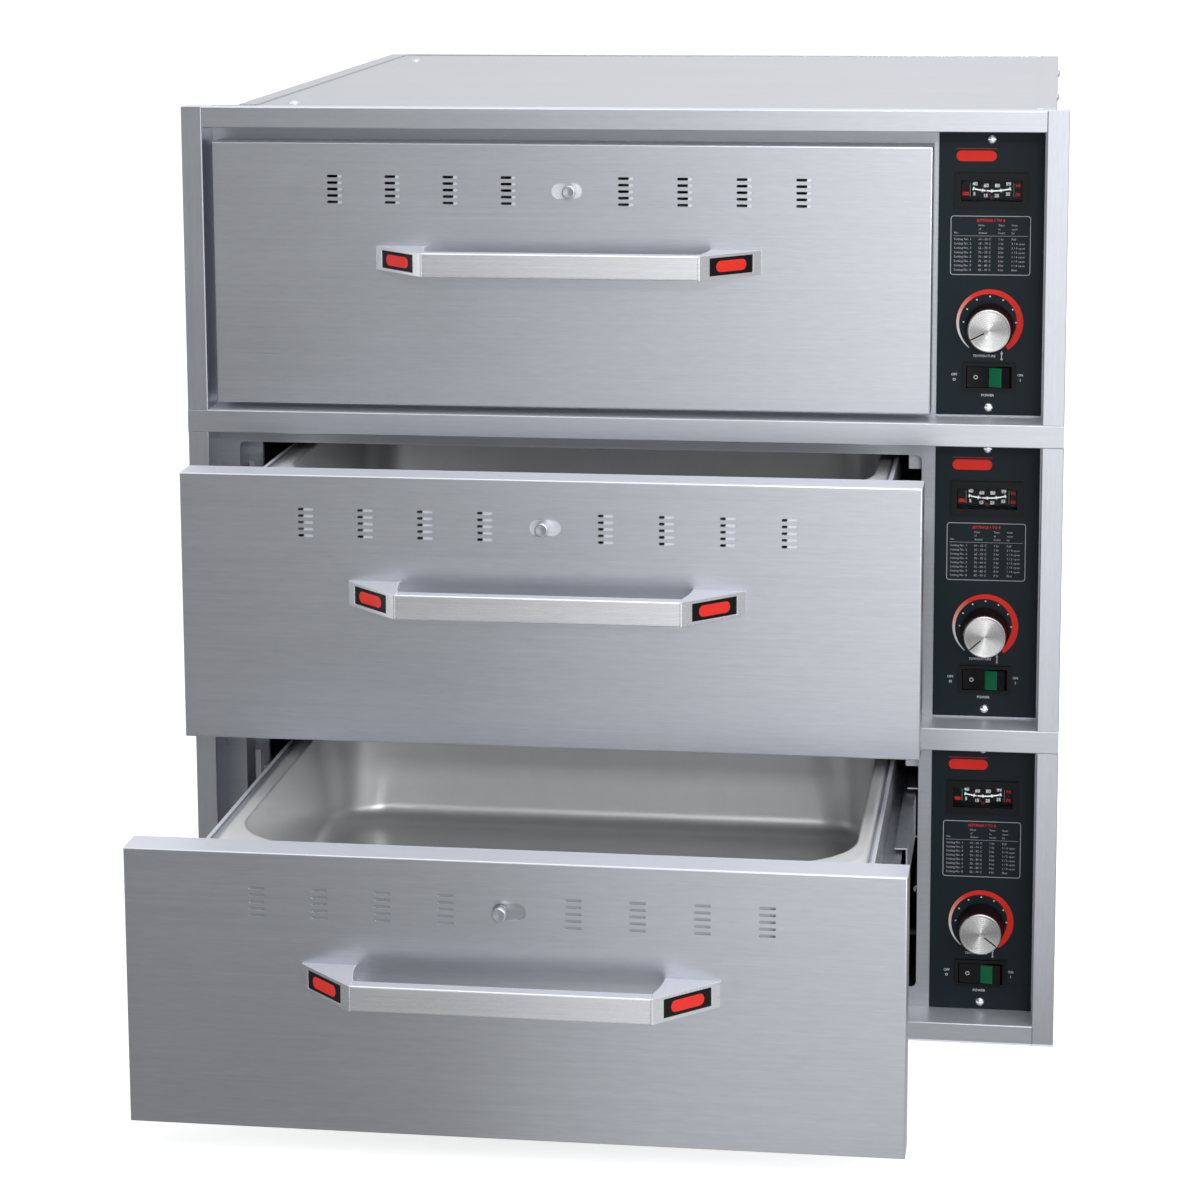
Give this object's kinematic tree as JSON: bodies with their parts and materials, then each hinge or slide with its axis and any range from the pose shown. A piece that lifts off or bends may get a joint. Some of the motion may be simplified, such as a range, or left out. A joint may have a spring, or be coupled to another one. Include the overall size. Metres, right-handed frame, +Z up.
{
  "type": "warming drawer",
  "caption": "Built-in stainless steel food warmer: stacked drawers with lift-out pans on telescopic slides, sliding vents, and a control strip with gauge, thermostat dial and power rocker.",
  "frame": {"origin": "underside of the base, midway across the trim and midway from the trim's front to the casing's back", "axes": "+Z up, +Y from the front to the back, +X to the right seen from the front"},
  "size_m": [0.762, 1.0955, 0.8185],
  "materials": {
    "brushed_steel": "fine horizontal brushed grain",
    "sheet_steel": "mill finish sheet",
    "liner_steel": "dull galvanised sheet",
    "pan_steel": "satin deep-drawn steel",
    "zinc_steel": "zinc-plated steel",
    "nickel_plate": "polished nickel",
    "spun_aluminium": "spun face",
    "element_sheath": "heat-darkened steel sheath",
    "black_paint": "matt black",
    "black_plastic": "fine matt texture",
    "gloss_black": "moulded gloss black with a green lens",
    "red_plastic": "gloss red",
    "green_lens": "translucent green",
    "gauge_glass": "clear window",
    "panel_print": "screen-printed ink",
    "glass_wool": "compressed glass wool"
  },
  "bodies": {
    "cabinet": {"trim_rails": "brushed_steel", "trim_stiles": "brushed_steel", "face_plate": "brushed_steel", "cabinet_base": "sheet_steel", "cabinet_top": "sheet_steel", "cabinet_left_side": "sheet_steel", "cabinet_right_side": "sheet_steel", "cabinet_back": "sheet_steel", "divider_wall": "sheet_steel", "insulation": "glass_wool", "cable_gland": "black_plastic", "fixed_slides": "zinc_steel", "control_panels": "black_paint", "gauge_cases": "black_plastic", "thermostats": "zinc_steel", "rocker_cases": "black_plastic", "heating_elements": "element_sheath", "screws": "zinc_steel", "cavity_liner_upper": "liner_steel", "cavity_liner_centre": "liner_steel", "cavity_liner_lower": "liner_steel"},
    "drawer_upper": {"drawer_front_upper": "brushed_steel", "drawer_backing_upper": "sheet_steel", "drawer_frame_upper": "sheet_steel", "pan_upper": "pan_steel", "handle_bar_upper": "brushed_steel", "handle_brackets_upper": "brushed_steel", "drawer_slides_upper": "zinc_steel"},
    "slides_upper": {"middle_slides_upper": "zinc_steel"},
    "vent_upper": {"vent_slider_upper": "sheet_steel", "vent_screw_upper": "nickel_plate"},
    "dial_upper": {"dial_knob_upper": "spun_aluminium"},
    "switch_upper": {"rocker_upper": "gloss_black"},
    "needle_upper": {"gauge_needle_upper": "red_plastic"},
    "drawer_centre": {"drawer_front_centre": "brushed_steel", "drawer_backing_centre": "sheet_steel", "drawer_frame_centre": "sheet_steel", "pan_centre": "pan_steel", "handle_bar_centre": "brushed_steel", "handle_brackets_centre": "brushed_steel", "drawer_slides_centre": "zinc_steel"},
    "slides_centre": {"middle_slides_centre": "zinc_steel"},
    "vent_centre": {"vent_slider_centre": "sheet_steel", "vent_screw_centre": "nickel_plate"},
    "dial_centre": {"dial_knob_centre": "spun_aluminium"},
    "switch_centre": {"rocker_centre": "gloss_black"},
    "needle_centre": {"gauge_needle_centre": "red_plastic"},
    "drawer_lower": {"drawer_front_lower": "brushed_steel", "drawer_backing_lower": "sheet_steel", "drawer_frame_lower": "sheet_steel", "pan_lower": "pan_steel", "handle_bar_lower": "brushed_steel", "handle_brackets_lower": "brushed_steel", "drawer_slides_lower": "zinc_steel"},
    "slides_lower": {"middle_slides_lower": "zinc_steel"},
    "vent_lower": {"vent_slider_lower": "sheet_steel", "vent_screw_lower": "nickel_plate"},
    "dial_lower": {"dial_knob_lower": "spun_aluminium"},
    "switch_lower": {"rocker_lower": "gloss_black"},
    "needle_lower": {"gauge_needle_lower": "red_plastic"}
  },
  "joints": [
    {"name": "drawer_upper_slide", "type": "slide", "parent": "cabinet", "child": "drawer_upper", "axis": [0, -1, 0], "range_m": [0, 0.44]},
    {"name": "slides_upper_slide", "type": "slide", "parent": "cabinet", "child": "slides_upper", "axis": [0, -1, 0], "range_m": [0, 0.22]},
    {"name": "vent_upper_slide", "type": "slide", "parent": "drawer_upper", "child": "vent_upper", "axis": [1, 0, 0], "range_m": [-0.00924, 0.00396]},
    {"name": "dial_upper_turn", "type": "hinge", "parent": "cabinet", "child": "dial_upper", "pos_m": [0.3163, -0.3115, 0.628], "axis": [0, 1, 0], "range_deg": [-18, 252]},
    {"name": "switch_upper_rock", "type": "hinge", "parent": "cabinet", "child": "switch_upper", "pos_m": [0.3163, -0.31, 0.5848], "axis": [0, 0, 1], "range_deg": [0, 14]},
    {"name": "needle_upper_sweep", "type": "hinge", "parent": "cabinet", "child": "needle_upper", "pos_m": [0.3163, -0.3065, 0.7387], "axis": [0, 1, 0], "range_deg": [0, 76]},
    {"name": "drawer_centre_slide", "type": "slide", "parent": "cabinet", "child": "drawer_centre", "axis": [0, -1, 0], "range_m": [-0.135, 0.305]},
    {"name": "slides_centre_slide", "type": "slide", "parent": "cabinet", "child": "slides_centre", "axis": [0, -1, 0], "range_m": [-0.0675, 0.1525]},
    {"name": "vent_centre_slide", "type": "slide", "parent": "drawer_centre", "child": "vent_centre", "axis": [1, 0, 0], "range_m": [-0.00462, 0.00858]},
    {"name": "dial_centre_turn", "type": "hinge", "parent": "cabinet", "child": "dial_centre", "pos_m": [0.3163, -0.3115, 0.3613], "axis": [0, 1, 0], "range_deg": [-3, 267]},
    {"name": "switch_centre_rock", "type": "hinge", "parent": "cabinet", "child": "switch_centre", "pos_m": [0.3163, -0.31, 0.3181], "axis": [0, 0, 1], "range_deg": [0, 14]},
    {"name": "needle_centre_sweep", "type": "hinge", "parent": "cabinet", "child": "needle_centre", "pos_m": [0.3163, -0.3065, 0.472], "axis": [0, 1, 0], "range_deg": [0, 76]},
    {"name": "drawer_lower_slide", "type": "slide", "parent": "cabinet", "child": "drawer_lower", "axis": [0, -1, 0], "range_m": [-0.335, 0.105]},
    {"name": "slides_lower_slide", "type": "slide", "parent": "cabinet", "child": "slides_lower", "axis": [0, -1, 0], "range_m": [-0.1675, 0.0525]},
    {"name": "vent_lower_slide", "type": "slide", "parent": "drawer_lower", "child": "vent_lower", "axis": [1, 0, 0], "range_m": [0, 0.0132]},
    {"name": "dial_lower_turn", "type": "hinge", "parent": "cabinet", "child": "dial_lower", "pos_m": [0.3163, -0.3115, 0.0946], "axis": [0, 1, 0], "range_deg": [-262, 8]},
    {"name": "switch_lower_rock", "type": "hinge", "parent": "cabinet", "child": "switch_lower", "pos_m": [0.3163, -0.31, 0.0514], "axis": [0, 0, 1], "range_deg": [0, 14]},
    {"name": "needle_lower_sweep", "type": "hinge", "parent": "cabinet", "child": "needle_lower", "pos_m": [0.3163, -0.3065, 0.2053], "axis": [0, 1, 0], "range_deg": [0, 76]}
  ],
  "couplings": [
    {"joint": "slides_upper_slide", "follows": "drawer_upper_slide", "ratio": 0.5},
    {"joint": "slides_centre_slide", "follows": "drawer_centre_slide", "ratio": 0.5},
    {"joint": "slides_lower_slide", "follows": "drawer_lower_slide", "ratio": 0.5}
  ]
}
